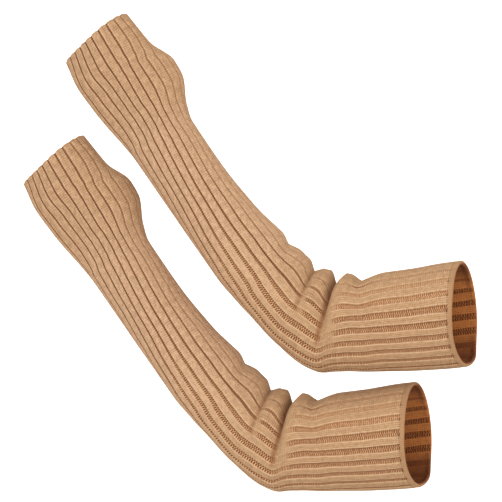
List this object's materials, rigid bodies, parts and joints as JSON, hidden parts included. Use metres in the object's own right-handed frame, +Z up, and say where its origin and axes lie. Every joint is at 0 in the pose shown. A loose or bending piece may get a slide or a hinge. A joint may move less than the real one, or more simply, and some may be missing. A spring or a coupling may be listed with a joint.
{
  "type": "pair of knitted arm warmers",
  "caption": "Long rib-knit arm warmers in camel wool, open at both ends, filled out and bent at the elbow as worn from the knuckles to the upper arm.",
  "frame": {"origin": "middle of the upper warmer's elbow, where the wearer's arm holds it", "axes": "+X from the elbow towards the upper arm's opening, +Z up, +Y away from the viewer, front to back through the arms"},
  "size_m": [0.4605, 0.1726, 0.4857],
  "materials": {
    "rib_knit": "soft matt wool rib knit, camel, darker in the furrows between the ribs"
  },
  "bodies": {
    "root": {"warmer_upper": "rib_knit", "warmer_lower": "rib_knit"}
  },
  "joints": []
}
